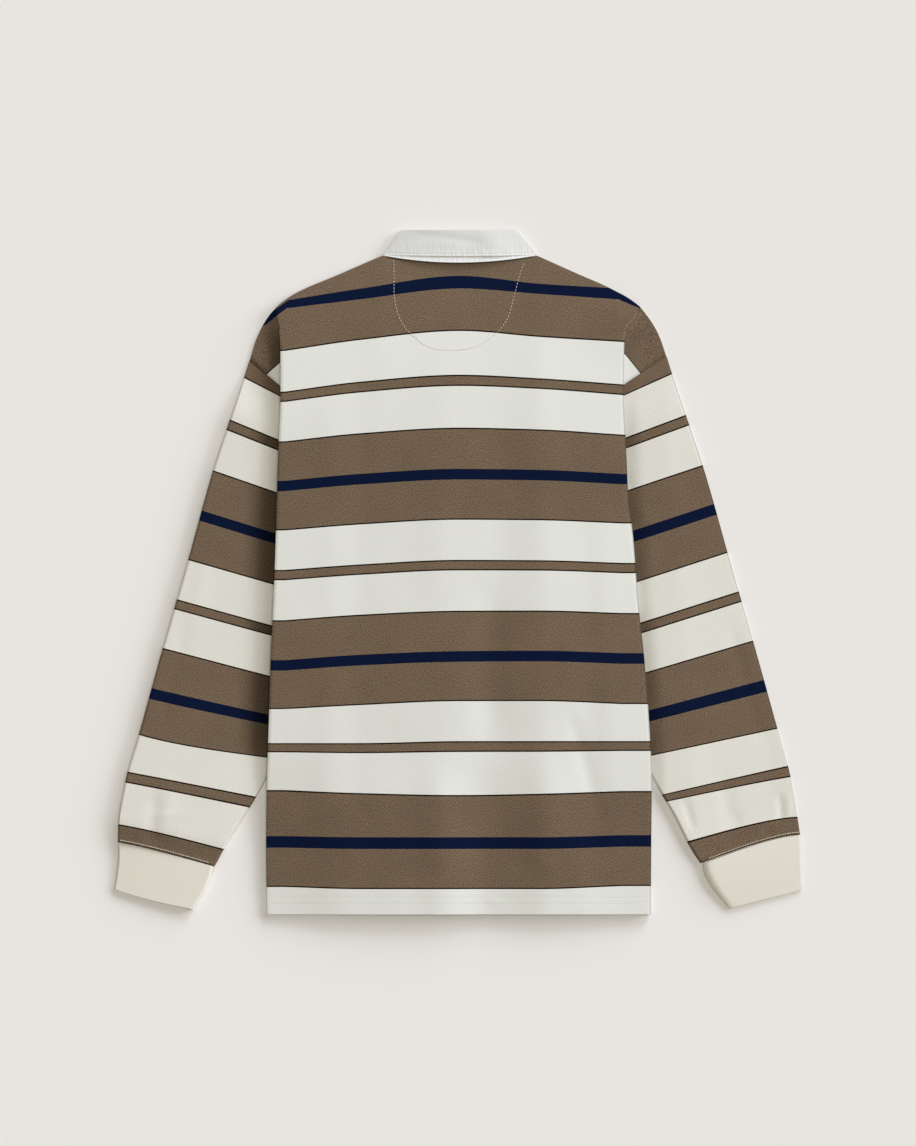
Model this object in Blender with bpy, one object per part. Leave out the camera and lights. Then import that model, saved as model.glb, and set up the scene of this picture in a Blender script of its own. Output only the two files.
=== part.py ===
"""Rugby shirt laid out on a flat surface, back up, with both sides tucked under.

Units here are millimetres until a mesh is made, and metres in the scene. X runs across the
shirt, Y from hem to collar, Z up, with the surface it lies on at Z = 0. The origin is under
the middle of the shirt. Wearer's left is at -X, because the back is uppermost.

Front and back are two parallel walls, one on each side of a folded middle sheet. Each row of
that sheet is a section drawn from the centre line outwards: over the top, round the tucked
edge, back under the shirt, and beside the armhole round an inner fold and out again.
"""

import math

import bmesh
import bpy
import numpy as np

MM = 0.001

# cloth
JERSEY = 1.2                # thickness of the body and sleeve cloth
RIB = 1.8                   # thickness of the folded double rib of a cuff
SEAM_GAP = 0.3              # clearance between pieces and between layers
PITCH = JERSEY + SEAM_GAP   # from one layer to the next
HALF_PITCH = PITCH / 2
FOLD_RADIUS = PITCH         # of the middle sheet where front and back fold together
FOLD_REACH = FOLD_RADIUS + HALF_PITCH + JERSEY / 2
LOW_MID = HALF_PITCH + JERSEY / 2   # height of the middle sheet with one wall on the floor

# body
HEM_Y = -375.0
TOP_Y = 346.0               # neck points, where shoulder and neckline meet
HALF_CHEST = 290.0          # half the cloth's width, centre line to side seam
BACK_NECK_DROP = 8.0
FRONT_NECK_DROP = 85.0
SHOULDER_START = 60.0       # rows above this height lean towards the shoulder line
NECK_START = 200.0          # front rows above this height lean towards the front neckline
SUPPORT_RUN = 60.0          # how gently the cloth comes down beside what it lies on
SLEEVE_MARGIN = 58.0        # cloth stays up this far past the edge of the sleeve beneath
SLIT_HALF = 0.3
SLIT_BOTTOM = 118.0
PLEAT_TURN_RUN = 22.0       # the tuck beside the armhole turns right under over this height
SOFT_TURN = 1.2             # length of a turn that is still nearly flat
LEAST_TUCK = 0.8

# one side each: neck point, top of the armhole seam, its hidden lower end, start of the tuck
SIDES = {
    "left": {"sign": -1, "neck": 83.0, "arm_top": (228.0, 231.0), "arm_end": (105.0, 130.0),
             "apex_y": 285.0},
    "right": {"sign": 1, "neck": 86.5, "arm_top": (228.0, 236.0), "arm_end": (88.0, 142.0),
              "apex_y": 288.0},
}
PLEAT_START = 150.0         # lowest row with the inner fold

# height, distance of the tucked edge from the centre line: wearer's left, right
TUCKED_EDGE = [
    ("y", "left", "right"),
    (-375, 209.0, 211.0),
    (-300, 210.0, 211.5),
    (-228, 209.0, 212.0),
    (-162, 207.0, 209.0),
    (-97, 205.0, 204.0),
    (-31, 202.0, 197.0),
    (35, 199.5, 192.0),
    (88, 198.0, 186.0),
    (134, 196.5, 184.0),
    (192, 194.0, 181.0),
    (252, 194.0, 183.0),
    (290, 196.0, 187.0),
]
# distance from the centre line, height of the shoulder's outline
SHOULDER = {
    "left": [(83, 346), (130, 325.5), (184, 301), (204, 284), (213.5, 270), (221, 254),
             (228, 231)],
    "right": [(86.5, 346), (130, 326.5), (165, 311), (198, 291), (208, 279), (217, 265),
              (222, 254), (228, 236)],
}
# height, distance of the sleeve's outer edge from the centre line
SLEEVE_OUTER = [
    ("y", "left", "right"),
    (-296, 372.0, 375.2),
    (-277, 372.0, 373.0),
    (-228, 363.5, 364.5),
    (-178, 349.0, 351.0),
    (-84, 323.0, 325.0),
    (13, 295.0, 297.0),
    (110, 268.0, 269.5),
    (212, 234.0, 235.5),
    (236, 226.5, 228.0),
]
# height, distance of the sleeve's inner edge, hidden by the body above -228
SLEEVE_INNER = [
    ("y", "left", "right"),
    (-375, 340.0, 340.0),
    (-322, 267.0, 268.5),
    (-304, 257.0, 258.5),
    (-265, 233.0, 236.0),
    (-228, 211.0, 215.0),
    (-170, 188.0, 190.0),
    (-90, 160.0, 158.0),
    (0, 136.0, 128.0),
    (70, 122.0, 106.0),
    (140, 119.5, 102.0),
]
# where a line across the sleeve meets its outer and inner edge, and how far the top rises
SLEEVE_LINES = [
    ("outer_y", "inner_y", "puff"),
    (231, 140, 0.0),
    (200, 88, 0.5),
    (156, 46, 0.9),
    (112, 8, 1.2),
    (62, -38, 1.3),
    (14, -84, 1.6),
    (-34, -132, 1.8),
    (-84, -180, 2.0),
    (-131, -227, 2.2),
    (-176, -257, 2.4),
    (-212, -277, 2.4),
    (-246, -295, 2.2),
    (-275, -309, 1.6),
    (-295.9, -322, 1.0),
]
SLEEVE_CLEAR = 20.0         # the sleeve stays flat this far out from under the body
SLEEVE_RAMP = 30.0          # and has its full rise this much further out
SLEEVE_STEPS = 8
CUFF_SEAM_LIFT = {"left": 0.0, "right": 6.0}    # the right seam sits higher
CUFF_SEAM_RUN = (-200.0, -296.0)                # heights over which the last lines follow it
# cuff corners: seam outer, seam inner, opening outer, opening inner
CUFF = {
    "left": ((372.4, -296.3), (267.3, -322.5), (376.0, -347.0), (290.5, -368.5)),
    "right": ((375.2, -290.3), (268.6, -319.2), (376.0, -348.5), (293.5, -368.0)),
}
CUFF_PUFF = 1.2
CUFF_ROWS = 4

# collar, all round the neck: half widths and heights at the neck seam and at the roll
COLLAR = {
    "stand": {"seam_back": 338.3, "seam_side": 346.3, "roll_back": 372.6, "roll_side": 371.0,
              "roll_front": 284.0, "roll_half": 59.0, "side": -HALF_PITCH},
    "leaf": {"seam_back": 345.4, "seam_side": 346.7, "roll_back": 375.0, "roll_side": 373.0,
             "roll_front": 289.0, "roll_half": 62.0, "side": HALF_PITCH},
}
POINT_BEND = (99.0, 290.0)  # the leaf's outer edge bows past this place
COLLAR_POINT = (70.0, 232.0)
FRONT_END = 8.0             # leaf's ends from the centre line, at the roll
FRONT_END_STEP = 4.0        # width of the last cell at each end
COLLAR_ROWS = (0.0, 0.32, 0.64, 0.945, 1.0)   # shares of the way from seam to roll
COLLAR_STEPS = 4
ROLL_TURN = 1.1             # how far the leaf's last row turns towards the stand

# closure, hidden under the front
PLACKET = {"half_width": 18.0, "bottom": 110.0, "top": 259.0}
BUTTON = {"radius": 6.0, "thickness": 1.5, "heights": (235.0, 187.0, 139.0), "sides": 24}

# what lifts the cloth in the middle: how high, how far out from the centre line, from what
# height, up to what height, and the runs over which it comes down at each
RISES = {
    "wings": {"rise": PITCH, "half": 130.0, "side_run": 30.0, "low": 170.0, "low_run": 35.0},
    "placket": {"rise": PITCH, "half": 45.0, "side_run": 25.0, "low": 72.0, "low_run": 32.0},
    "buttons": {"rise": BUTTON["thickness"] + SEAM_GAP, "half": 30.0, "side_run": 21.0,
                "low": 92.0, "low_run": 34.0, "high": 258.0, "high_run": 14.0},
    "bridge": {"rise": 0.8, "half": 140.0, "side_run": 60.0,
               "low": 40.0, "low_run": 30.0, "high": 300.0, "high_run": 30.0},
}

ROW_HEIGHTS = (
    HEM_Y, -322, -268, -216, -165, -110, -50, 10, 60, 100, 126,
    PLEAT_START, 174, 204, 230, 256, 280, 298, 312, 318, 324, 330, 336, 341, TOP_Y,
)
CENTRE_COLUMNS = (SLIT_HALF, 9.0, 20.0, 45.0, 64.0)
ARC_STEPS = 4
TUCK_STEPS = 3
OUTER_STEPS = 4

COLOURS = {   # sRGB, roughness
    "brown jersey": ((0.435, 0.369, 0.302), 0.85),
    "collar twill": ((0.86, 0.86, 0.84), 0.8),
    "cream rib": ((0.87, 0.86, 0.82), 0.9),
    "rubber": ((0.86, 0.85, 0.81), 0.6),
}


def smooth(value):
    """Ease from 0 to 1."""
    t = np.clip(value, 0.0, 1.0)
    return t * t * (3.0 - 2.0 * t)


def read(table, column, y):
    """Value of a named column at a height."""
    place = table[0].index(column)
    rows = sorted(table[1:])
    return float(np.interp(y, [row[0] for row in rows], [row[place] for row in rows]))


def line_at(start, end, x):
    """Height of a straight line at x."""
    return start[1] + (end[1] - start[1]) * (x - start[0]) / (end[0] - start[0])


# ---- the body's plan -----------------------------------------------------------------

def neck_dip(x, neck):
    """1 at the centre line, 0 from the neck point outwards."""
    return np.clip(1.0 - (x / neck) ** 2, 0.0, 1.0)


def row_height(base, x, side, front=False):
    """Height of a row where it passes x: level at the hem, along the shoulder at the top."""
    outline = SHOULDER[side]
    shoulder = np.interp(x, [p[0] for p in outline], [p[1] for p in outline])
    dip = neck_dip(x, SIDES[side]["neck"])
    drop = TOP_Y - shoulder + BACK_NECK_DROP * dip
    y = base - smooth((base - SHOULDER_START) / (TOP_Y - SHOULDER_START)) * drop
    if front:
        lean = smooth((base - NECK_START) / (TOP_Y - NECK_START))
        y = y - lean * (FRONT_NECK_DROP - BACK_NECK_DROP) * dip
    return y


def inner_fold(y, side):
    """Distance of the inner fold beside the armhole from the centre line."""
    data = SIDES[side]
    apex_x = read(TUCKED_EDGE, side, data["apex_y"])
    return float(np.interp(y, [data["arm_end"][1], data["apex_y"]], [data["arm_end"][0], apex_x]))


def seam_reach(base, side):
    """Where a row meets the armhole seam, a straight line on the floor."""
    low, high = SIDES[side]["arm_end"], SIDES[side]["arm_top"]
    xs = np.linspace(low[0], high[0], 200)
    above = line_at(low, high, xs) - row_height(base, xs, side)
    return float(np.interp(0.0, above, xs))


def tuck_end(y, side):
    """Inner limit of the cloth tucked under: the side seam, or the inner fold above it."""
    arm_x, arm_y = SIDES[side]["arm_end"]
    if y < arm_y:
        hem_x = 2.0 * read(TUCKED_EDGE, side, HEM_Y) - HALF_CHEST
        return hem_x + (arm_x - hem_x) * (y - HEM_Y) / (arm_y - HEM_Y)
    return inner_fold(y, side)


def above_floor(x, y, end, side):
    """How far the sheet has come down from its full stack: 0 over sleeve and tuck, 1 inside."""
    sleeve = read(SLEEVE_INNER, side, y) - SLEEVE_MARGIN
    off_sleeve = smooth((max(end, sleeve) - x) / SUPPORT_RUN)
    off_tuck = smooth((end - x) / SUPPORT_RUN)
    return (off_sleeve + off_tuck) / 2.0


def rise_over(name, x, y):
    """Lift of the cloth over one of the things that lie beneath it in the middle."""
    sizes = RISES[name]
    share = smooth((sizes["half"] - x) / sizes["side_run"])
    share *= smooth((y - sizes["low"]) / sizes["low_run"])
    if "high" in sizes:
        share *= smooth((sizes["high"] - y) / sizes["high_run"])
    return sizes["rise"] * share


def closure_rise(x, y):
    """Lift over the collar's front wings, the placket and the buttons."""
    return max(rise_over("wings", x, y), rise_over("placket", x, y)) + rise_over("buttons", x, y)


# ---- the body's sections -------------------------------------------------------------

def row_section(base, side):
    """One side of the middle sheet outwards: points (x, z, normal x, normal z, layer)."""
    edge_y = row_height(base, read(TUCKED_EDGE, side, base), side)
    edge = read(TUCKED_EDGE, side, edge_y)
    turn_x = edge - FOLD_REACH
    pleated = base >= PLEAT_START
    apex_y = SIDES[side]["apex_y"]
    turn = math.pi * min(max((apex_y - edge_y) / PLEAT_TURN_RUN, 0.0), 1.0)
    end = min(tuck_end(edge_y, side), turn_x - 2.0)
    arc = FOLD_RADIUS * turn + SOFT_TURN * (1.0 - turn / math.pi)
    if pleated:
        tuck = max(LEAST_TUCK, (turn_x - end - FOLD_REACH) * (turn / math.pi) ** 2)
    else:
        tuck = turn_x - end
    drop = tuck * math.sin(turn)
    if turn > 0:
        drop += 2.0 * arc / turn * (1.0 - math.cos(turn))
    top = LOW_MID + drop if pleated else LOW_MID + 4.0 * FOLD_RADIUS

    neck = SIDES[side]["neck"]
    columns = list(CENTRE_COLUMNS)
    columns += [neck + (end - neck) * i / 3.0 for i in range(3)]
    columns += [end + (turn_x - end) * i / TUCK_STEPS for i in range(TUCK_STEPS + 1)]
    points = [(x, top, 0.0, 1.0, "top") for x in columns]

    def walk(length, bend, steps, layer):
        """Go on along the section, turning by bend over the length."""
        nonlocal heading
        for _ in range(steps):
            x, z = points[-1][:2]
            step = length / steps
            half = bend / steps / 2.0
            chord = step if half == 0 else step * math.sin(abs(half)) / abs(half)
            x += chord * math.cos(heading + half)
            z -= chord * math.sin(heading + half)
            heading += 2.0 * half
            points.append((x, z, math.sin(heading), math.cos(heading), layer))

    heading = 0.0
    walk(arc, turn, ARC_STEPS, "tuck")
    walk(tuck, 0.0, TUCK_STEPS, "tuck")
    walk(arc, -turn, ARC_STEPS, "floor")
    outer = max(seam_reach(base, side) - points[-1][0], 2.0)
    walk(outer, 0.0, OUTER_STEPS, "floor")
    return points, top, end


def sheet_points(front):
    """Outer and inner wall points of a panel, a row for each section, left to right."""
    near, far = (-JERSEY - SEAM_GAP / 2, -SEAM_GAP / 2) if front \
        else (SEAM_GAP / 2, JERSEY + SEAM_GAP / 2)
    upper, lower = [], []
    for base in ROW_HEIGHTS:
        row_upper, row_lower = [], []
        for side in ("left", "right"):
            section, top, end = row_section(base, side)
            if side == "left":
                section = section[::-1]
            for x, z, nx, nz, layer in section:
                y = float(row_height(base, x, side, front))
                lift = 0.0
                if layer != "floor":
                    lift = closure_rise(x, y) - (top - LOW_MID) * above_floor(x, y, end, side)
                if layer == "top" and not front:
                    lift += rise_over("bridge", x, y)
                for offset, row in ((far, row_upper), (near, row_lower)):
                    row.append((SIDES[side]["sign"] * (x + nx * offset), y,
                                z + nz * offset + lift))
        upper.append(row_upper)
        lower.append(row_lower)
    return upper, lower


def kept_cells(front):
    """Cells of the panel: none past the side seam below the armhole, none in the front slit."""
    columns = 2 * (len(CENTRE_COLUMNS) + 3 + TUCK_STEPS + 1 + 2 * ARC_STEPS + TUCK_STEPS
                   + OUTER_STEPS)
    outer = ARC_STEPS + OUTER_STEPS
    middle = columns // 2 - 1
    kept = np.ones((len(ROW_HEIGHTS) - 1, columns - 1), bool)
    for row, base in enumerate(ROW_HEIGHTS[:-1]):
        if base < PLEAT_START:
            kept[row, :outer] = False
            kept[row, -outer:] = False
        if front and base > SLIT_BOTTOM:
            kept[row, middle] = False
    return kept


# ---- meshes --------------------------------------------------------------------------

def add_object(name, mesh, colour):
    obj = bpy.data.objects.new(name, mesh)
    bpy.context.scene.collection.objects.link(obj)
    material = bpy.data.materials.get(colour)
    if material is None:
        rgb, roughness = COLOURS[colour]
        material = bpy.data.materials.new(colour)
        material.use_nodes = True
        shader = material.node_tree.nodes["Principled BSDF"]
        shader.inputs["Base Color"].default_value = (*[c ** 2.2 for c in rgb], 1.0)
        shader.inputs["Roughness"].default_value = roughness
        shader.inputs["Metallic"].default_value = 0.0
    mesh.materials.append(material)
    mesh.shade_smooth()
    mesh.set_sharp_from_angle(angle=math.radians(50))
    return obj


def wall(name, colour, upper, lower, kept=None, closed=False):
    """A cloth wall between two grids of points; closed rows run round a tube."""
    rows, columns = len(upper), len(upper[0])
    spans = columns if closed else columns - 1
    if kept is None:
        kept = np.ones((rows - 1, spans), bool)
    bm = bmesh.new()
    verts = {}

    def vert(level, row, column):
        key = (level, row, column % columns)
        if key not in verts:
            verts[key] = bm.verts.new([c * MM for c in (upper, lower)[level][row][key[2]]])
        return verts[key]

    def is_kept(row, column):
        if closed:
            column %= spans
        return 0 <= row < rows - 1 and 0 <= column < spans and kept[row, column]

    for row in range(rows - 1):
        for column in range(spans):
            if not kept[row, column]:
                continue
            ring = [(row, column), (row, column + 1), (row + 1, column + 1), (row + 1, column)]
            beyond = [(row - 1, column), (row, column + 1), (row + 1, column), (row, column - 1)]
            bm.faces.new([vert(0, *p) for p in ring])
            bm.faces.new([vert(1, *p) for p in ring[::-1]])
            for i, cell in enumerate(beyond):
                if not is_kept(*cell):
                    a, b = ring[i], ring[(i + 1) % 4]
                    bm.faces.new([vert(0, *b), vert(0, *a), vert(1, *a), vert(1, *b)])
    bmesh.ops.triangulate(bm, faces=bm.faces[:])
    bmesh.ops.recalc_face_normals(bm, faces=bm.faces[:])
    mesh = bpy.data.meshes.new(name)
    bm.to_mesh(mesh)
    bm.free()
    return add_object(name, mesh, colour)


def body():
    """Back and front panels."""
    for name, front in (("back", False), ("front", True)):
        upper, lower = sheet_points(front)
        wall(name, "brown jersey", upper, lower, kept_cells(front))


def flat_tube(name, colour, lines, thickness, sign):
    """A tube lying flat; each line gives its outer edge, inner edge, rise and where it is free."""
    outside, inside = [], []
    for outer, inner, puff, free in lines:
        start, end = np.array(outer, float), np.array(inner, float)
        width = np.linalg.norm(end - start)
        along = (end - start) / width
        bend = thickness + SEAM_GAP / 2
        ring = []
        for i in range(SLEEVE_STEPS + 1):     # along the floor, from the outer edge
            ring.append((bend + (width - 2 * bend) * i / SLEEVE_STEPS, 0.0, -1.0, 0.0))
        for i in range(1, ARC_STEPS):
            angle = math.pi * i / ARC_STEPS
            ring.append((width - bend, math.sin(angle), -math.cos(angle), 0.0))
        for i in range(SLEEVE_STEPS + 1):
            share = 1.0 - i / SLEEVE_STEPS
            x = (start + along * width * share)[0]
            rise = puff * max(math.sin(math.pi * share), 0.0) ** 0.6 * smooth((x - free) / SLEEVE_RAMP)
            ring.append((bend + (width - 2 * bend) * share, 0.0, 1.0, rise))
        for i in range(1, ARC_STEPS):
            angle = math.pi * i / ARC_STEPS
            ring.append((bend, -math.sin(angle), math.cos(angle), 0.0))
        for radius, rows in ((bend, outside), (SEAM_GAP / 2, inside)):
            row = []
            for place, nx, nz, rise in ring:
                x, y = start + along * (place + nx * radius)
                row.append((sign * x, y, bend + nz * radius + rise))
            rows.append(row)
    return wall(name, colour, outside, inside, closed=True)


def sleeves():
    for side, data in SIDES.items():
        lines = []
        start = np.array([data["arm_top"], data["arm_end"]])
        direction = (start[1] - start[0]) / np.linalg.norm(start[1] - start[0])
        clear = np.array([-direction[1], direction[0]])
        for outer_y, inner_y, puff in SLEEVE_LINES[1:]:
            lift = CUFF_SEAM_LIFT[side] * smooth(
                (outer_y - CUFF_SEAM_RUN[0]) / (CUFF_SEAM_RUN[1] - CUFF_SEAM_RUN[0]))
            outer_y += lift
            inner_y += lift / 2.0
            free = read(TUCKED_EDGE, side, inner_y) + SLEEVE_CLEAR
            lines.append(((read(SLEEVE_OUTER, side, outer_y), outer_y),
                          (read(SLEEVE_INNER, side, inner_y), inner_y), puff, free))
        inner_x = read(SLEEVE_INNER, side, SLEEVE_LINES[1][1])
        seam = [start[0], np.array([inner_x, line_at(start[1], start[0], inner_x)])]
        lines[0] = (*[tuple(p + clear * SEAM_GAP) for p in seam], 0.0, 0.0)
        flat_tube("sleeve_" + side, "brown jersey", lines, JERSEY, data["sign"])


def cuffs():
    for side, data in SIDES.items():
        corners = [np.array(p) for p in CUFF[side]]
        lines = []
        for i in range(CUFF_ROWS + 1):
            t = i / CUFF_ROWS
            lines.append((corners[0] + (corners[2] - corners[0]) * t,
                          corners[1] + (corners[3] - corners[1]) * t, CUFF_PUFF, 0.0))
        flat_tube("cuff_" + side, "cream rib", lines, RIB, data["sign"])


def collar_half(kind, share, side):
    """One row of the collar from the centre back round to the front: (x, y, z, nx, nz)."""
    sizes = COLLAR[kind]
    neck = SIDES[side]["neck"]
    half = neck + (sizes["roll_half"] - neck) * share
    turn_x = half - FOLD_REACH
    back = sizes["seam_back"] + (sizes["roll_back"] - sizes["seam_back"]) * share
    beside = sizes["seam_side"] + (sizes["roll_side"] - sizes["seam_side"]) * share
    points = []
    for i in range(COLLAR_STEPS + 1):
        x = turn_x * i / COLLAR_STEPS
        y = back + (beside - back) * (x / half) ** 2
        points.append((x, y, LOW_MID + 2 * FOLD_RADIUS, 0.0, 1.0))
    for i in range(1, ARC_STEPS + 1):
        angle = math.pi * i / ARC_STEPS
        points.append((turn_x + FOLD_RADIUS * math.sin(angle), beside,
                       LOW_MID + FOLD_RADIUS * (1.0 + math.cos(angle)),
                       math.sin(angle), math.cos(angle)))
    seam = [(x, TOP_Y + SEAM_GAP - FRONT_NECK_DROP * float(neck_dip(x, neck)))
            for x in CENTRE_COLUMNS[::-1]]
    rise = sizes["roll_side"] - sizes["roll_front"]
    roll = [(x * sizes["roll_half"] / neck, sizes["roll_front"] + rise * (x / neck) ** 2)
            for x in CENTRE_COLUMNS[::-1]]
    if kind == "leaf":
        steps = len(seam)
        start = np.array((neck - FOLD_REACH, sizes["seam_side"]))
        for i in range(steps):
            t = (i + 1) / steps
            place = (1 - t) ** 2 * start + 2 * t * (1 - t) * np.array(POINT_BEND) \
                + t ** 2 * np.array(COLLAR_POINT)
            seam[i] = tuple(place)
            roll[i] = (max(roll[i][0], FRONT_END), roll[i][1])
        roll[-2] = (roll[-1][0] + FRONT_END_STEP, roll[-2][1])
    for low, high in zip(seam, roll):
        x, y = np.array(low) + (np.array(high) - np.array(low)) * share
        points.append((x, y, LOW_MID, 0.0, -1.0))
    return points


def collar():
    """Stand and leaf, one inside the other, both from centre front round to centre front."""
    for kind, sizes in COLLAR.items():
        near, far = sizes["side"] - JERSEY / 2, sizes["side"] + JERSEY / 2
        upper, lower = [], []
        for share in COLLAR_ROWS:
            rolled = ROLL_TURN if kind == "leaf" and share == 1.0 else 0.0
            halves = [collar_half(kind, share, side) for side in ("left", "right")]
            row_points = [(-p[0], *p[1:3], -p[3], p[4]) for p in halves[0][:0:-1]] + halves[1]
            for offset, rows in ((far, upper), (near, lower)):
                rows.append([(x + nx * offset, y, z + nz * offset - max(nz, 0.0) * rolled)
                             for x, y, z, nx, nz in row_points])
        wall("collar_" + kind, "collar twill", upper, lower)


def closure():
    """Placket under the front opening, with its buttons between placket and front."""
    bm = bmesh.new()
    bmesh.ops.create_cube(bm, size=1.0)
    length = PLACKET["top"] - PLACKET["bottom"]
    size = (2 * PLACKET["half_width"] * MM, length * MM, JERSEY * MM)
    bmesh.ops.scale(bm, vec=size, verts=bm.verts[:])
    centre = (0.0, (PLACKET["bottom"] + length / 2) * MM, JERSEY / 2 * MM)
    bmesh.ops.translate(bm, vec=centre, verts=bm.verts[:])
    mesh = bpy.data.meshes.new("placket")
    bm.to_mesh(mesh)
    bm.free()
    add_object("placket", mesh, "brown jersey")
    for number, height in enumerate(BUTTON["heights"], 1):
        bm = bmesh.new()
        bmesh.ops.create_cone(bm, cap_ends=True, segments=BUTTON["sides"],
                              radius1=BUTTON["radius"] * MM, radius2=BUTTON["radius"] * MM,
                              depth=BUTTON["thickness"] * MM)
        z = (PITCH + BUTTON["thickness"] / 2) * MM
        bmesh.ops.translate(bm, vec=(0.0, height * MM, z), verts=bm.verts[:])
        mesh = bpy.data.meshes.new("button_%d" % number)
        bm.to_mesh(mesh)
        bm.free()
        add_object("button_%d" % number, mesh, "rubber")


def main():
    for obj in list(bpy.data.objects):
        bpy.data.objects.remove(obj)
    body()
    sleeves()
    cuffs()
    collar()
    closure()


main()
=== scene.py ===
import math
from functools import partial

import bmesh
import bpy
import numpy as np
from mathutils import Matrix, Vector
from mathutils.bvhtree import BVHTree


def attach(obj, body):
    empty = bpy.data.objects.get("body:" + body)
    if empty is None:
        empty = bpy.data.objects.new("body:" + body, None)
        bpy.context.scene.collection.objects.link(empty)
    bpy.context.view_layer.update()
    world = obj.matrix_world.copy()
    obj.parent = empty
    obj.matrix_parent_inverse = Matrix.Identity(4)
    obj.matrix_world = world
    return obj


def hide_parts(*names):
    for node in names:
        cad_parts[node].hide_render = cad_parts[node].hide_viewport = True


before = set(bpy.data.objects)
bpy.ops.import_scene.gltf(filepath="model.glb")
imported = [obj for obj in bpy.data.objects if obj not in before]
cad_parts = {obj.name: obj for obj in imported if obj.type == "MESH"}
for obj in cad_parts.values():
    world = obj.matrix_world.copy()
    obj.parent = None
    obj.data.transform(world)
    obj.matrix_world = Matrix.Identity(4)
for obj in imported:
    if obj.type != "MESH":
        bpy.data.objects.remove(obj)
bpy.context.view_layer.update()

# Rugby shirt lying on its front. Sizes are millimetres until a mesh is made.
# Wearer's left is at -X, the hem at -Y. Edges, folds and stripes come from short tables.
mm = 0.001
sides = {"left": -1, "right": 1}
jersey = {"wall": 0.9, "gap": 0.2, "foldRadius": 1.05}
halfPitch = (jersey["wall"] + jersey["gap"]) / 2
foldReach = jersey["foldRadius"] + halfPitch + jersey["wall"] / 2
lowMid = halfPitch + jersey["wall"] / 2     # the sheet between front and back, lying on the floor


def ease(t):
    t = np.clip(t, 0.0, 1.0)
    return t * t * (3.0 - 2.0 * t)


def curveThrough(xs, ys):
    # a smooth curve through a few points, which never overshoots them
    order = np.argsort(xs)
    xs, ys = np.array(xs, float)[order], np.array(ys, float)[order]
    step = np.diff(xs)
    rise = np.diff(ys) / step
    slope = np.zeros(len(xs))
    slope[0], slope[-1] = rise[0], rise[-1]
    for i in range(1, len(xs) - 1):
        if rise[i - 1] * rise[i] > 0:
            before, after = 2 * step[i] + step[i - 1], step[i] + 2 * step[i - 1]
            slope[i] = (before + after) / (before / rise[i - 1] + after / rise[i])

    def at(x):
        x = np.clip(x, xs[0], xs[-1])
        i = np.clip(np.searchsorted(xs, x) - 1, 0, len(xs) - 2)
        t = (x - xs[i]) / step[i]
        return (ys[i] * (1 + 2 * t) * (1 - t) ** 2 + ys[i + 1] * t * t * (3 - 2 * t)
                + step[i] * t * (1 - t) * (slope[i] * (1 - t) - slope[i + 1] * t))
    return at


def columnsOf(table):
    # each named column of a table as a smooth curve over the first one
    (_, *names), *rows = table
    firsts, *columns = zip(*rows)
    return {name: curveThrough(firsts, column) for name, column in zip(names, columns)}


def creaseHeight(creases, x, y):
    # soft ridges and troughs, given one by one: where each runs from and to, how wide, how high
    past, run = 0.15, 0.4       # how far past its ends a crease reaches, and how long it takes to fade
    total = np.zeros(np.broadcast(x, y).shape)
    for x0, y0, x1, y1, width, height in creases:
        dx, dy = x1 - x0, y1 - y0
        t = ((x - x0) * dx + (y - y0) * dy) / (dx * dx + dy * dy)
        away = ((x - x0) * dy - (y - y0) * dx) / math.hypot(dx, dy)
        total = total + height * ease((t + past) / run) * ease((1.0 + past - t) / run) \
            * np.exp(-(away / width) ** 2)
    return total


def makePiece(bm, name):
    mesh = bpy.data.meshes.new(name)
    bm.to_mesh(mesh)
    bm.free()
    piece = bpy.data.objects.new(name, mesh)
    bpy.context.scene.collection.objects.link(piece)
    return piece


# a bend sharper than "pressed", in radians, is a pressed edge, and an edge that faces the lamps at +X +Y is
# painted darker, as painted shade
edges = {"pressed": 0.75, "facing": 0.7, "rimShadeFrom": 0.25, "rimShadeRun": 0.35, "rimColourKept": 0.42}


def clothPiece(name, points, uvs, wall, keep=None, tube=False, shade=None):
    # a grid laid over rows of points, each with its own place in the cloth, then given a thickness
    rows, across = points.shape[:2]
    bm = bmesh.new()
    bmesh.ops.create_grid(bm, x_segments=across - 1, y_segments=rows - 1, size=1.0)
    layer = bm.loops.layers.uv.new("cloth")
    # per point: the painted shading, and the painted shade on rims that face the lamps, which the materials
    # paint into the colour
    deep, rim = [bm.verts.layers.float.new(kind) for kind in ("deep", "rim")]
    place = {}
    for v in bm.verts:
        place[v] = (round((v.co.y + 1) / 2 * (rows - 1)), round((v.co.x + 1) / 2 * (across - 1)))
    gone = []
    for face in bm.faces:
        for loop in face.loops:
            loop[layer].uv = uvs[place[loop.vert]] * mm
        corner = tuple(min(steps) for steps in zip(*[place[v] for v in face.verts]))
        if keep is not None and not keep[corner]:
            gone.append(face)
    for v in bm.verts:
        v.co = points[place[v]] * mm
        v[deep] = 0.0 if shade is None else float(shade[place[v]])
    bmesh.ops.delete(bm, geom=gone, context="FACES")
    if tube:
        bmesh.ops.remove_doubles(bm, verts=bm.verts[:], dist=0.02 * mm)
    bmesh.ops.recalc_face_normals(bm, faces=bm.faces[:])
    bm.normal_update()
    outward = math.copysign(1.0, max(bm.verts, key=lambda v: v.co.z).normal.z)
    # painted shade on edges that face the lamps: the more a point faces +X +Y, the darker it is painted
    for v in bm.verts:
        lit = outward * (v.normal.x + v.normal.y) * edges["facing"]
        v[rim] = min(max((lit - edges["rimShadeFrom"]) / edges["rimShadeRun"], 0.0), 1.0)
    for face in bm.faces:
        face.smooth = True
    for edge in bm.edges:
        edge.smooth = edge.calc_face_angle(0.0) < edges["pressed"]
    piece = makePiece(bm, name)
    thick = piece.modifiers.new("cloth thickness", "SOLIDIFY")
    thick.thickness = wall * mm
    thick.offset = 0.0
    thick.use_quality_normals = True
    return piece


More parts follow.
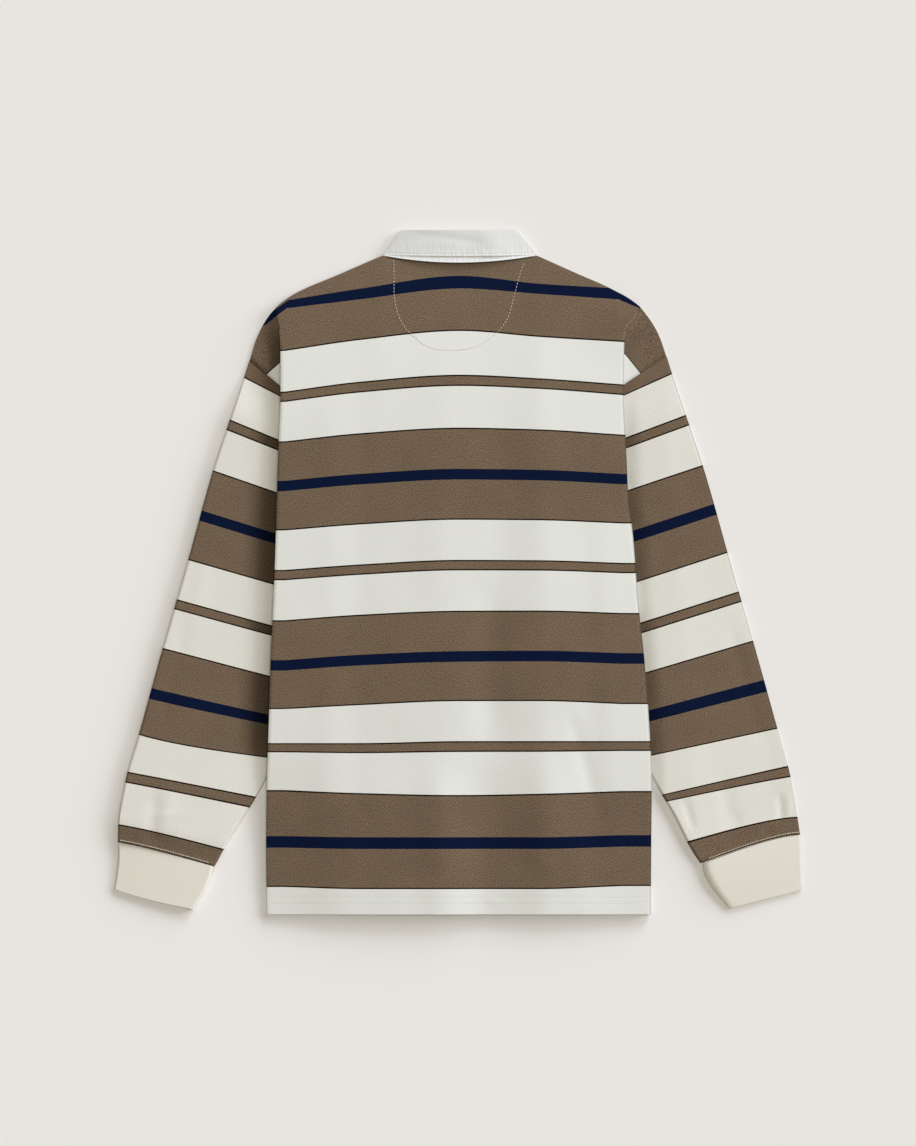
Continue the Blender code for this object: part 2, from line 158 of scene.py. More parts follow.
# ---- stripes: widths of one repeat down the cloth, and where they lie on the body
stripes = {
    "repeat": (("navy", 11), ("brown", 45), ("white", 43.5), ("brown", 12), ("white", 43.5), ("brown", 45)),
    # height of each change of colour on the centre line, from the navy at the shoulders down
    "centre": (323.9, 310.7, 263.6, 216, 203.4, 158.1, 112.5, 101.6, 57.1, 13.5, 1.7, -42.1, -86.8, -97.7,
        -141.3, -184.7, -196.9, -243.7, -290.4, -302.5, -347),
    # how much lower the same stripe lies away from the centre line
    "across": (-189.4, -107.3, 2.2, 89.8, 179.6),
    "sag": (("height", "leftEdge", "leftHalf", "centre", "rightHalf", "rightEdge"),
        (323.9, 27.4, 14.2, 0, 8.8, 14), (310.7, 21.9, 12, 0, 6, 12.2), (263.6, 21.9, 9.9, 0, 6.6, 12),
        (203.4, 17.5, 7.2, 0, 3.3, 9.9), (112.5, 13.1, 5.5, 0, 1.1, 5.5), (12.9, 11, 5, 0, 0.4, 3.3),
        (-86.8, 9.9, 4, 0, -0.5, 2.2), (-141.5, 8.8, 4.4, 0, 0, 3.3), (-185.3, 2.2, 2.2, 0, 0, 0),
        (-244.4, -5.5, -2.2, 0, -1.5, -4.4), (-290.4, -1.1, 0, 0, 0, -2.2), (-347.4, -2.2, 0, 0, 0, -3.3)),
}
repeatLength = sum(width for _, width in stripes["repeat"])
changes = [sum(stripes["repeat"][i % 6][1] for i in range(k))
           for k in range(len(stripes["centre"]))]
sag = columnsOf(stripes["sag"])
stripeSags = [curveThrough(stripes["across"], [column(centre) for column in sag.values()])
              for centre in stripes["centre"]]


def bodyStripe(x, y):
    # place down the cloth, in millimetres from the top of the shoulder's navy stripe
    heights = np.array([centre - lower(x) for centre, lower in zip(stripes["centre"], stripeSags)])
    down = changes[0] + (heights[0] - y)
    for k in range(len(heights) - 1):
        share = (heights[k] - y) / (heights[k] - heights[k + 1])
        down = np.where(y <= heights[k], changes[k] + share * (changes[k + 1] - changes[k]), down)
    return np.where(y <= heights[-1], changes[-1] + heights[-1] - y, down)


print("stripes worked out")

# ---- body
body = {
    "hem": -375, "top": 346, "halfChest": 290, "backDip": 8, "frontDip": 85, "slitEnd": 118,
    "leanFrom": 60, "frontLeanFrom": 200,
    "neck": {"left": 83, "right": 86.5},
    "armTop": {"left": (228, 231), "right": (228, 236)},
    "armEnd": {"left": (105, 130), "right": (88, 142)},
    # the pleat beside the armhole: its tip, how far down it has turned right over, and its last row
    "pleatTop": {"left": 274, "right": 284}, "pleatRun": {"left": 38, "right": 26},
    "pleatFrom": 150, "leastArc": 1.2, "leastTuck": 0.8, "leastOuter": 2,
    # how the sheet comes down off the tuck, and off the sleeve under it
    "supportRun": 60, "sleeveMargin": 58,
    # distance of the tucked edge from the centre line
    "edge": (("y", "left", "right"), (-375, 209, 211), (-300, 210, 211.5), (-228, 209, 212),
        (-162, 207, 209), (-97, 205, 204), (-31, 202, 197), (35, 199.5, 192), (88, 198, 186),
        (134, 196.5, 184), (192, 194.3, 181.3), (235, 194.4, 182), (246.2, 194.9, 183.4),
        (255, 195.7, 185.4), (265.2, 197.5, 190.9), (277, 200.1, 198.2), (280.2, 200.7, 200.6)),
    "shoulder": {
        "left": ((83, 346), (130, 325.5), (184, 301), (204, 284), (213.5, 270), (221, 254), (228, 231)),
        "right": ((86.5, 346), (130, 326.5), (165, 311), (198, 291), (208, 279), (217, 265), (222, 254),
            (228, 236))},
    # how high the back stands in the middle, along the rows
    "loft": ((-375, 7.6), (-345, 8.2), (-290, 9.6), (-200, 12.6), (-60, 15.4), (110, 15.2), (200, 13.4),
        (260, 10.4), (310, 6.6), (346, 3.2)),
    # height of the back along its folded edge
    "edgeLoft": (("y", "left", "right"), (-375, 3.9, 5.6), (-310, 5, 5.8), (-250, 9.2, 7.6),
        (-150, 14.2, 9.8), (0, 15.4, 10.8), (150, 14.6, 10.2), (230, 11.4, 8.6), (265, 8.8, 7.4),
        (300, 5.8, 5.4), (346, 2, 2)),
    "domePower": 2.2, "edgeBox": 0.06, "loftSoftness": 1.5,
    # stripes on the drop shoulder: fall for each millimetre outwards, and offset past the pleat
    "dropFall": (("y", "left", "right"), (310, 0.55, 0.36), (290, 0.68, 0.39), (280, 0.75, 0.42),
        (262, 0.82, 0.6), (255, 0.85, 1), (245, 0.9, 1.2), (200, 0.9, 1.25)),
    # near the shoulder's end the stripes start to fall before the folded edge
    "dropLead": {"left": 15, "right": 26}, "leadFrom": 255, "leadRun": 30, "dropShift": 12,
    # rows: from, to, how many; columns: where they are fine beside the folded edge, and how many there
    "backRows": ((-375, -374.85, 2), (-373.75, -351.25, 19), (-350, 150, 118), (154, 250, 26),
        (252.5, 345, 44), (345.85, 346, 2)),
    "frontRows": ((-375, 118, 60), (124, 150, 5), (158, 346, 40)),
    "middle": 0.3, "coarseEnd": 19, "fineStart": 16, "fineColumns": 11,
    "topColumns": 60, "arcSteps": 8, "tuckSteps": 6, "outerSteps": 12,
    "hemRows": (12.2, 18.6), "stitchDip": 0.16, "stitchWidth": 0.9,
    "seamClose": 0.62, "seamRun": 3,
    "creases": (    # from x, y, to x, y, width, height
        (-142, 200, -146, -375, 17, 0.7), (-107, 230, -112, -375, 16, -0.5),
        (-20, 240, -20, -375, 26, 0.8), (46, 220, 50, -375, 22, -0.8),
        (92, 250, 96, -375, 18, 0.8), (138, 120, 150, -340, 14, -0.7),
        (165, 60, 172, -375, 13, 0.5),
        (121, -150, 163, -290, 8, -1), (-58, -40, -56, -200, 20, 0.6), (120, -60, 122, -170, 13, 0.6),
        (-170, -40, -166, -110, 14, 0.4), (-90, -40, -92, -100, 14, -0.4),
        (28, -190, 28, -420, 20, -1.1), (34, -20, 34, -190, 19, -1.6),
        # low down, where the cloth lies in broad soft folds out to the hem
        (-122, -215, -122, -480, 48, 3.6), (-64, -215, -64, -480, 28, 1.8), (-25, -215, -15, -480, 27, 2.5),
        (-22, -225, -18, -330, 20, 0.5), (94, -215, 96, -480, 24, 1.9), (108, -215, 158, -480, 27, 2.1),
        (157, -228, 180, -272, 5, -0.5), (62, -318, 72, -326, 6, -0.4), (28, -310, 31, -318, 5, -0.3),
        (79, -306, 113, -334, 6, 0.5), (-170, -245, -168, -262, 6, -0.5),
        (-112, -252, -96, -268, 6, -0.4), (-26, -256, -25, -264, 6, -0.4),
        (34, -356, 46, -366, 4, 0.3), (-128, -308, -126, -320, 6, -0.4),
        # the pinched edge of the right pleat, and the seam that shows through the shoulder
        (199, 282, 187, 267, 2.6, 0.5), (184.5, 268, 181.8, 246, 2.6, 0.5),
        (174, 304, 177, 291, 3, 0.35),
    ),
    # painted highlights: pale streaks painted where the shoulder's seam and the pinched fold catch the light
    "paintedHighlights": ((174.1, 301, 177.4, 292.3, 1.7, 0.24), (177.4, 292, 178.8, 278, 1.7, 0.16),
        (199.5, 280, 191, 272.8, 2.6, 0.6), (190.6, 272.6, 185.9, 265.8, 2.6, 0.6),
        (185.4, 265.2, 182.6, 252, 2.2, 0.4)),
    # painted shade: how much darker the dark yarn is painted deep in the pleats, by distance from the folded
    # edge
    "deep": (("away", "left", "right"), (-1, 0.50, 0.16), (6, 0.46, 0.12), (10, 0.36, 0.08), (14, 0.08, 0),
        (17, 0, 0)),
    # rows where the painted shade fades in and where it fades out
    "paintedShadeFrom": 192, "paintedShadeRun": 20, "paintedShadeTo": 277, "paintedShadeFade": 30,
    # what lies in the middle under the front, which is collar, placket and buttons:
    # rise, half width, run, low, run, high, run
    "hiddenRises": ((1.5, 130, 30, 170, 35, 999, 10), (1.5, 45, 25, 72, 32, 999, 10),
        (1.8, 30, 21, 92, 34, 258, 14)),
    # distance of the sleeve's inner fold from the centre line
    "sleeveInner": (("y", "left", "right"), (-375, 340, 340), (-322, 267, 268.5), (-304, 257, 256),
        (-265, 233, 236), (-228, 211, 215), (-170, 188, 190), (-90, 160, 158), (0, 136, 128),
        (70, 122, 106), (140, 119.5, 102)),
}
bodyEdge, edgeLoft, dropFall, bodyPaintedShade, sleeveInner = [
    columnsOf(body[name]) for name in ("edge", "edgeLoft", "dropFall", "deep", "sleeveInner")]
shoulderLine = {side: curveThrough(*zip(*body["shoulder"][side])) for side in sides}
loft = curveThrough(*zip(*body["loft"]))


def rowHeight(base, x, side, front=False):
    # a row is level at the hem and follows shoulder and neckline at the top
    dip = np.clip(1.0 - (x / body["neck"][side]) ** 2, 0.0, 1.0)
    drop = body["top"] - shoulderLine[side](x) + body["backDip"] * dip
    y = base - ease((base - body["leanFrom"]) / (body["top"] - body["leanFrom"])) * drop
    if front:
        lean = ease((base - body["frontLeanFrom"]) / (body["top"] - body["frontLeanFrom"]))
        y = y - lean * (body["frontDip"] - body["backDip"]) * dip
    return y


def armSeam(side, x):
    (x0, y0), (x1, y1) = body["armEnd"][side], body["armTop"][side]
    return y0 + (y1 - y0) * (x - x0) / (x1 - x0)


def tuckEnd(y, side):
    # how far in the cloth is tucked: to the side seam, or to the inner fold beside the armhole
    armX, armY = body["armEnd"][side]
    if y < armY:
        hemX = 2.0 * bodyEdge[side](body["hem"]) - body["halfChest"]
        return hemX + (armX - hemX) * (y - body["hem"]) / (armY - body["hem"])
    apex = body["pleatTop"][side]
    return np.interp(y, [armY, apex], [armX, bodyEdge[side](apex)])


def riseOver(sizes, x, y):
    rise, half, sideRun, low, lowRun, high, highRun = sizes
    return rise * ease((half - x) / sideRun) * ease((y - low) / lowRun) * ease((high - y) / highRun)


def isPleated(base):
    return base >= body["pleatFrom"] - 0.01


def bodySection(base, side):
    # one side of the sheet between front and back: over the top, round the tucked edge and back
    # under, and beside the armhole round an inner fold and out again
    edgeY = rowHeight(base, bodyEdge[side](base), side)
    edge = bodyEdge[side](edgeY)
    turnX = edge - foldReach
    turn = math.pi * ease((body["pleatTop"][side] - edgeY) / body["pleatRun"][side])
    end = min(tuckEnd(edgeY, side), turnX - 2.0)
    radius = jersey["foldRadius"]
    arc = radius * turn + body["leastArc"] * (1.0 - turn / math.pi)
    tuck, top = turnX - end, lowMid + 4.0 * radius
    if isPleated(base):
        tuck = max(body["leastTuck"], (tuck - foldReach) * (turn / math.pi) ** 2)
        drop = tuck * math.sin(turn)
        if turn > 0.01:
            drop += 2.0 * arc / turn * (1.0 - math.cos(turn))
        top = lowMid + drop
    coarse = np.linspace(body["middle"], turnX - body["coarseEnd"], body["topColumns"] - body["fineColumns"])
    fine = np.linspace(turnX - body["fineStart"], turnX, body["fineColumns"])
    points = [(x, top, 0.0, 1.0, 0, x) for x in (*coarse, *fine)]
    heading = 0.0
    for length, bend, steps, layer in (
            (arc, turn, body["arcSteps"], 1), (tuck, 0.0, body["tuckSteps"], 1),
            (arc, -turn, body["arcSteps"], 2), (None, 0.0, body["outerSteps"], 2)):
        if length is None:
            low, high = body["armEnd"][side], body["armTop"][side]
            reach = np.linspace(low[0], high[0], 200)
            above = armSeam(side, reach) - rowHeight(base, reach, side)
            length = max(np.interp(0.0, above, reach) - points[-1][0], body["leastOuter"])
        for _ in range(steps):
            x, z, _, _, _, along = points[-1]
            half = bend / steps / 2.0
            chord = length / steps * (1.0 if half == 0 else math.sin(abs(half)) / abs(half))
            x += chord * math.cos(heading + half)
            z -= chord * math.sin(heading + half)
            heading += 2.0 * half
            points.append((x, z, math.sin(heading), math.cos(heading), layer, along + length / steps))
    return {"points": np.array(points), "top": top, "end": end, "edge": edge, "edgeY": edgeY,
            "turnX": turnX, "turn": turn}


def backLoft(row, base, side, signedX, y, lift):
    # the back stands up on the air under it, with its creases, and dips at the rows of stitches
    x, z, _, _, layer, _ = row["points"].T
    middle = loft(base) + creaseHeight(body["creases"], signedX, y)
    edgeZ = edgeLoft[side](row["edgeY"])
    domed = middle + (edgeZ - middle) * (x / row["turnX"]) ** body["domePower"]
    under = row["top"] + lift
    above = domed - under
    raised = under + (above + np.sqrt(above ** 2 + body["loftSoftness"])) / 2.0
    lift = np.where(layer == 0, raised - z, lift)
    # the folded edge goes up with it, less and less towards its under side
    first, last = body["topColumns"], body["topColumns"] + body["arcSteps"]
    fold = z[first - 1] - z[last - 1]
    if fold > 0.5:
        share = np.clip((z[first:last] - z[last - 1]) / fold, 0.0, 1.0)
        lift[first:last] += (lift[first - 1] - lift[first]) * share
    for stitches in body["hemRows"]:
        across = np.exp(-((y - body["hem"] - stitches) / body["stitchWidth"]) ** 2)
        lift = lift - body["stitchDip"] * across * (layer == 0)
    return lift


def downTheCloth(row, base, side, sign, y):
    # how far down its cloth each point lies: as on the body, and falling outwards on the drop shoulder
    x, _, _, _, _, along = row["points"].T
    lead = body["dropLead"][side] * ease((row["edgeY"] - body["leadFrom"]) / body["leadRun"])
    start = row["edge"] - lead
    outward = dropFall[side](row["edgeY"]) * np.maximum(x - start, 0.0)
    down = bodyStripe(sign * np.minimum(x, start), y + outward)
    first = body["topColumns"]
    if isPleated(base):
        last = first + 2 * body["arcSteps"] + body["tuckSteps"]
        shift = body["dropShift"] * row["turn"] / math.pi
        beyond = bodyStripe(np.full_like(x, sign * start), y + shift + outward)
        length = max(along[last - 1] - along[first - 1], 0.1)
        share = ease((along[first:last] - along[first - 1]) / length)
        down[first:last] = down[first - 1] + (beyond[last] - down[first - 1]) * share
        down[last:] = beyond[last:]
    else:
        down[first:] = bodyStripe(np.array([sign * row["edge"]]), np.array([row["edgeY"]]))[0]
    return down


def bodyHalf(front, base, side, sign):
    # one side of a row: its points, their places in the cloth, and the shade and highlights painted on its
    # yarn
    row = bodySection(base, side)
    top, end, edge, turnX = [row[name] for name in ("top", "end", "edge", "turnX")]
    x, z, nx, nz, layer, along = row["points"].T
    y = rowHeight(base, x, side, front)
    # the sheet comes down off the tuck and the sleeve, and rises over what lies in the middle
    sleeveEnd = sleeveInner[side](row["edgeY"]) - body["sleeveMargin"]
    settled = (top - lowMid) * (ease((max(end, sleeveEnd) - x) / body["supportRun"])
                                + ease((end - x) / body["supportRun"])) / 2.0
    overCollar, overPlacket, overButtons = [riseOver(sizes, x, y) for sizes in body["hiddenRises"]]
    lift = np.where(layer < 2, np.maximum(overCollar, overPlacket) + overButtons - settled, 0.0)
    if not front:
        lift = backLoft(row, base, side, sign * x, y, lift)
    # the shoulder and neck edges turn towards each other, where the seam joins them
    toSeam = rowHeight(body["top"], x, side, front) - y
    close = body["seamClose"] * ease(1.0 - toSeam / body["seamRun"])
    off = -halfPitch if front else halfPitch
    z = z + nz * off * (1.0 - close * 0.5) + lift
    out = x + nx * off
    # the pressed edge keeps its top flat until it turns over
    wide = edge - jersey["wall"] / 2 - turnX
    over = np.clip((out - turnX) / wide, 0.0, 1.0)
    flatter = np.where((layer == 1) & (nz > 0) & (row["turn"] > 1.0), over ** body["edgeBox"], over)
    signed = sign * (out + (flatter - over) * wide)
    # painted shade on the dark yarn of the outer layer beside the pleat
    shade = bodyPaintedShade[side](x - edge) * (layer == 2) * ease((y - body["paintedShadeFrom"]) / body["paintedShadeRun"]) \
        * ease((body["paintedShadeTo"] - y) / body["paintedShadeFade"])
    # painted highlights on the back: the pale streaks are taken off the painted shade
    if not front:
        shade = shade - creaseHeight(body["paintedHighlights"], signed, y)
    down = downTheCloth(row, base, side, sign, y)
    half = np.stack([signed, y, z], 1), np.stack([sign * along, -down], 1), shade
    return [column[::-1] for column in half] if side == "left" else half


def bodyPanel(name, front, rows):
    bases = np.concatenate([np.linspace(*part) for part in rows])
    laid = []
    for base in bases:
        halves = [bodyHalf(front, base, side, sign) for side, sign in sides.items()]
        laid.append([np.concatenate(pair) for pair in zip(*halves)])
    points, uvs, shades = [np.array(column) for column in zip(*laid)]
    across = points.shape[1]
    keep = np.ones((len(bases) - 1, across - 1), bool)
    outer = body["arcSteps"] + body["outerSteps"]
    for i, base in enumerate(bases[:-1]):
        if not isPleated(base):
            keep[i, :outer] = keep[i, -outer:] = False
        if front and base > body["slitEnd"]:
            keep[i, across // 2 - 1] = False
    return clothPiece(name, points, uvs, jersey["wall"], keep, shade=shades)


back = bodyPanel("back_panel", False, body["backRows"])
front = bodyPanel("front_panel", True, body["frontRows"])
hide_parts("back")
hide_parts("front")
print("body laid out")

# ---- sleeves and cuffs
sleeve = {
    # outer end of each change of colour, from the drop shoulder's brown down to the cuff seam
    "firstChange": 2,
    "outer": {
        "left": (212.2, 167.1, 155.2, 111.5, 67, 56.7, 12.9, -29.6, -40.8, -82.9, -127.3, -138.2, -178.1,
            -218.3, -230.6, -275.9),
        "right": (216.5, 172.2, 160.4, 117.2, 74.2, 63.2, 20.8, -21, -32.8, -74.9, -118.5, -130.6, -171.8,
            -212, -224.7, -267.9)},
    # outer end, fall towards the body, inner end, bow between the two
    "lines": {
        "left": ((231, 0.82, 141.9, 0), (212.2, 0.515, 129, 0), (190, 0.455, 117, 0), (160, 0.405, 102, 0),
            (110, 0.345, 60, 0), (60, 0.308, 15, 0), (12, 0.288, -31, 0), (-36, 0.275, -79, 0),
            (-85, 0.262, -125, 0), (-133, 0.222, -166, -0.5), (-178.1, 0.18, -204.5, -3),
            (-218.3, 0.19, -245.6, 0.2), (-230.6, 0.2, -257.8, 0.4), (-275.9, 0.23, -302.7, 1.5),
            (-295.9, 0.25, -322.2, 1.6)),
        "right": ((236, 0.6714, 151.4, 0), (216.5, 0.45, 139, 0), (194, 0.40, 127, 0), (165, 0.372, 108, 0),
            (115, 0.335, 63, 0), (70, 0.33, 16, 0), (21, 0.325, -31, 0), (-28, 0.317, -79, 0),
            (-77, 0.295, -126, 0), (-124, 0.26, -167, 0), (-171.8, 0.22, -203, 0),
            (-212, 0.21, -243.4, 0.2), (-224.7, 0.2, -251.5, 0.7), (-267.9, 0.21, -294.5, 3.2),
            (-288.2, 0.28, -318.9, 4))},
    "edge": (("y", "left", "right"), (-296, 372, 375.2), (-277, 371.5, 372.5), (-228, 363.5, 364.5),
        (-178, 349, 351), (-84, 323, 325), (13, 295, 297), (110, 268, 269.5), (212, 234, 235.5),
        (236, 226.5, 228)),
    "radius": (0.5, 0.5), "edgeBox": 0.08, "outerRoll": 1, "innerRoll": 2,
    # how high the upper layer stands, by distance from the body's edge
    "puff": (("away", "left", "right"), (-1, 0.1, 0.1), (4, 2.8, 1.7), (16, 4, 3.5), (45, 5.5, 3.4),
        (60, 5.8, 2.8), (130, 6.4, 0.8)),
    # painted shade: how much darker the dark yarn is painted beside the body, where the body's edge shades it
    "deep": (("away", "left", "right"), (0, 0.56, 0.20), (12, 0.58, 0.10), (16, 0.50, 0.05), (20, 0.36, 0),
        (26, 0.22, 0), (36, 0, 0)),
    # the painted shade fades in above the cuff, is less near the armhole, and lies along the cuff's seam as a
    # painted shadow
    "paintedShadeFrom": -260, "paintedShadeRun": 90, "lessFrom": 165, "lessRun": 25, "less": 0.4, "seamPaintedShade": 0.7,
    # the upper end lies hidden, flatter and pulled in under the body's edge
    "hideUp": 30, "hideIn": 4, "hideLeast": 12, "hidePower": 1.6, "topClear": 0.35, "topRun": 60,
    "cuffFrom": -270, "cuffRun": 25, "cuffLess": 0.3, "creaseRun": 15, "creaseEnds": 0.12,
    "across": 46, "arcSteps": 6, "rows": 150,
    "creases": {
        "left": ((-331, -245, -337, -300, 7, -0.9), (-316, -225, -322, -280, 9, 0.5),
            (-300, -60, -322, -170, 9, -0.5), (-265, 90, -290, -60, 10, 0.4),
            (-224, -186, -214, -244, 6, -0.6), (-337, -288, -322, -295, 3, -0.5),
            (-338, -268, -298, -264, 4, 0.3)),
        "right": ((353, -244, 354, -274, 4, -0.8), (363, -243, 363, -268, 3, 0.5),
            (341, -280, 338, -290, 2.6, -0.7), (325, -285, 323, -292, 2.6, -0.6),
            (313, -286, 310, -296, 2.6, -0.5), (303, -289, 301, -299, 3, -0.4),
            (304, -262, 306, -280, 4, -0.4), (248, -250, 257, -284, 5, -0.7),
            (290, -225, 300, -285, 8, -0.6), (300, -60, 330, -180, 9, -0.5))},
}
cuff = {
    "wall": 1.1, "height": 52, "rows": 22, "across": 44, "radius": (0.7, 0.56),
    "stitchUp": {"left": 2.9, "right": 3.6},
    # bow of the seam and of the opening
    "bow": {"left": (1.6, -2), "right": (4, 0)},
    # how far the outer and the inner edge swell sideways between the two
    "bulge": {"left": (-2, -3.4), "right": (0, -6)},
    "outerRoll": 60, "innerRoll": {"left": 25, "right": 11},
    # how high the upper layer stands at the seam and at the opening, outer then inner side
    "puff": {"left": ((2, 3.9), (1.2, 3.8)), "right": ((0.8, 5), (0, 1.2))},
    # seam outer, seam inner, opening outer, opening inner
    "corners": {
        "left": ((372.4, -296.5), (267.3, -322.7), (376, -347), (290.5, -369.5)),
        "right": ((375.2, -289), (268.6, -319.6), (376, -348.5), (297.5, -368.5))},
}
sleeveEdge, sleevePuff, sleevePaintedShade = [columnsOf(sleeve[name]) for name in ("edge", "puff", "deep")]


def closeAtEnds(count):
    # steps from 0 to 1 which draw together towards both ends
    t = np.linspace(0.0, 1.0, count + 1)
    return t - 0.7 * np.sin(2 * math.pi * t) / (2 * math.pi)


def rolledEdge(q):
    # the curve of a soft edge, upright at first and then level
    q = min(max(q, 0.0), 1.0)
    return (1.0 - (1.0 - q) ** 2.5) ** 0.6


def bowed(share):
    # a bow between two ends, fullest a little before the middle
    return math.sin(math.pi * min(max(share, 0.0), 1.0) ** 0.7)


def tubeRing(line, radii, wall, across, rise):
    # round a flat tube: along the floor outwards in, up round the inner fold, back over the top
    ring, cloth = [], []
    width = np.hypot(*(line(1.0) - line(0.0)))
    outerR, innerR = radii
    span = width - outerR - innerR
    length = 0.0

    def put(share, z):
        nonlocal length
        x, y = line(share)
        if ring:
            length += math.dist(ring[-1], (x, y, z))
        ring.append((x, y, z))
        cloth.append(length)
    box, arcSteps = sleeve["edgeBox"], sleeve["arcSteps"]
    for t in closeAtEnds(across):
        put((outerR + span * t) / width, wall / 2)
    for i in range(1, arcSteps):
        a = math.pi * i / arcSteps
        out = math.sin(a) ** (box if i > arcSteps / 2 else 1.0)
        put((width - innerR + innerR * out) / width, wall / 2 + innerR * (1 - math.cos(a)))
    for t in closeAtEnds(across)[::-1]:
        share = (outerR + span * t) / width
        put(share, wall / 2 + 2 * (outerR + (innerR - outerR) * t) + rise(share))
    for i in range(1, arcSteps + 1):
        a = math.pi * i / arcSteps
        out = abs(math.sin(a)) ** (box if i < arcSteps / 2 else 1.0)
        put((outerR - outerR * out) / width, wall / 2 + outerR * (1 + math.cos(a)))
    return np.array(ring), np.array(cloth)


def tubePiece(name, sign, rings, wall, shades=None):
    # each ring has its points, its length along itself, and how far down the cloth it lies
    points = np.array([ring for ring, _, _ in rings]) * (sign, 1, 1)
    uvs = np.array([np.stack([along, np.full_like(along, -down)], 1) for _, along, down in rings])
    return clothPiece(name, points, uvs, wall, tube=True, shade=shades)


def sleevePiece(side, sign):
    heights, *columns = zip(*sleeve["lines"][side])
    fallAt, innerAt, bowAt = [curveThrough(heights, column) for column in columns]
    outer, first = sleeve["outer"][side], sleeve["firstChange"]
    stripeAt = curveThrough(outer, changes[first:first + len(outer)])
    rings, shades = [], []
    share = np.concatenate([[0.0, 0.0003], np.linspace(0.004, 0.996, sleeve["rows"]), [0.9997, 1.0]])
    for outerY in heights[0] + (heights[-1] - heights[0]) * share:
        outerX, innerY = sleeveEdge[side](outerY), innerAt(outerY)
        innerX = sleeveInner[side](innerY)
        width = outerX - innerX
        fall = fallAt(outerY)
        hideX = bodyEdge[side](innerY + sleeve["hideUp"]) - sleeve["hideIn"]
        if innerX > hideX - sleeve["hideLeast"]:
            fall = (outerY - innerY) / width
        spare = (outerY - fall * width) - innerY
        bow = bowAt(outerY)
        clear = sleeve["topClear"] if outerY == heights[0] else 0.0

        def line(s):
            x = outerX + (innerX - outerX) * s
            y = outerY - fall * (outerX - x) + bow * bowed(s)
            if x < hideX:
                y -= spare * ((hideX - x) / (hideX - innerX)) ** sleeve["hidePower"]
            return np.array([x, y - clear])

        def rise(s):
            x, y = line(s)
            away = x - bodyEdge[side](y)
            up = sleevePuff[side](away) * rolledEdge(s * width / sleeve["outerRoll"]) \
                * rolledEdge((1 - s) * width / sleeve["innerRoll"])
            atCuff = ease((sleeve["cuffFrom"] - outerY) / sleeve["cuffRun"])
            up *= ease((heights[0] - outerY) / sleeve["topRun"]) * (1 - sleeve["cuffLess"] * atCuff)
            crease = creaseHeight(sleeve["creases"][side], sign * x, y)
            ends = sleeve["creaseEnds"]
            return up + crease * ease(away / sleeve["creaseRun"]) * min(s, 1 - s, ends) / ends
        ring, along = tubeRing(line, sleeve["radius"], jersey["wall"], sleeve["across"], rise)
        # painted shade on the dark yarn beside the body, and along the cuff's seam a painted shadow
        less = sleeve["less"] * ease((ring[:, 1] - sleeve["lessFrom"]) / sleeve["lessRun"])
        shades.append(sleevePaintedShade[side](ring[:, 0] - bodyEdge[side](ring[:, 1]))
                      * ease((ring[:, 1] - sleeve["paintedShadeFrom"]) / sleeve["paintedShadeRun"]) * (1.0 - less))
        if outerY < heights[-1] + 0.2:
            shades[-1] = np.full_like(shades[-1], sleeve["seamPaintedShade"])
        down = stripeAt(outerY) + min(0.0, outer[0] - outerY) + max(0.0, outer[-1] - outerY)
        rings.append((ring, along, down))
    return tubePiece("sleeve_%s_shell" % side, sign, rings, jersey["wall"], np.array(shades))


def cuffPiece(side, sign):
    seamOut, seamIn, openOut, openIn = [np.array(p) for p in cuff["corners"][side]]
    outerBulge, innerBulge = cuff["bulge"][side]
    seamBow, openBow = cuff["bow"][side]
    rings = []
    for t in (0.0, 0.003, *np.linspace(0.03, 0.97, cuff["rows"]), 0.997, 1.0):
        swell = math.sin(math.pi * t ** 0.8)
        start = seamOut + (openOut - seamOut) * t + (outerBulge * swell, 0)
        stop = seamIn + (openIn - seamIn) * t + (innerBulge * swell, 0)
        bow = seamBow * (1 - t) + openBow * t

        def line(s):
            x, y = start + (stop - start) * s
            return np.array([x, y + bow * bowed(s)])

        def rise(s):
            atSeam, atOpening = [outerUp + (innerUp - outerUp) * s for outerUp, innerUp in cuff["puff"][side]]
            up = atSeam + (atOpening - atSeam) * t ** 1.5
            return up * rolledEdge(s * cuff["outerRoll"]) * rolledEdge((1 - s) * cuff["innerRoll"][side])
        flat = cuff["radius"][0] + (cuff["radius"][1] - cuff["radius"][0]) * t
        ring, along = tubeRing(line, (flat, flat), cuff["wall"], cuff["across"], rise)
        rings.append((ring, along, cuff["height"] * t))
    return tubePiece("cuff_%s_shell" % side, sign, rings, cuff["wall"])


sleevePieces = {side: sleevePiece(side, sign) for side, sign in sides.items()}
cuffPieces = {side: cuffPiece(side, sign) for side, sign in sides.items()}
for side in sides:
    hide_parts("sleeve_" + side)
    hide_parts("cuff_" + side)
print("sleeves and cuffs laid out")

# ---- collar
collar = {
    "wall": {"stand": 0.8, "leaf": 0.5}, "arch": 4.2, "edgeBox": 0.06,
    "stand": {"low": (338.3, 346.3), "high": (371.6, 370), "frontHigh": 284, "half": 62, "off": -0.6},
    "leaf": {"low": (345.4, 346.8), "high": (374, 374.2), "frontHigh": 289, "half": 63.5, "off": 0.15},
    "pointBend": (99, 290), "point": (70, 232), "frontEnd": 8,
    "rows": 26, "topSteps": 50, "arcSteps": 8, "frontSteps": 16,
    "archHalf": 86, "taper": 0.06, "taperFrom": 0.9, "taperRun": 0.1, "shareHigh": 30,
    "creases": ((-58, 372, 26, 360, 4.5, -0.3), (-66, 362, -30, 366, 6, -0.25), (20, 368, 60, 352, 8, 0.2),
        (36, 378, 38, 338, 16, 0.7)),
    # the leaf dips along its lower edge: at which share of the height, how wide, how deep
    "groove": (0.075, 0.022, 0.18),
    # both rise over the seam at their lower edge: how high, and over what share of the height
    "seam": {"stand": (1.3, 0.22), "leaf": (0.35, 0.3)},
}


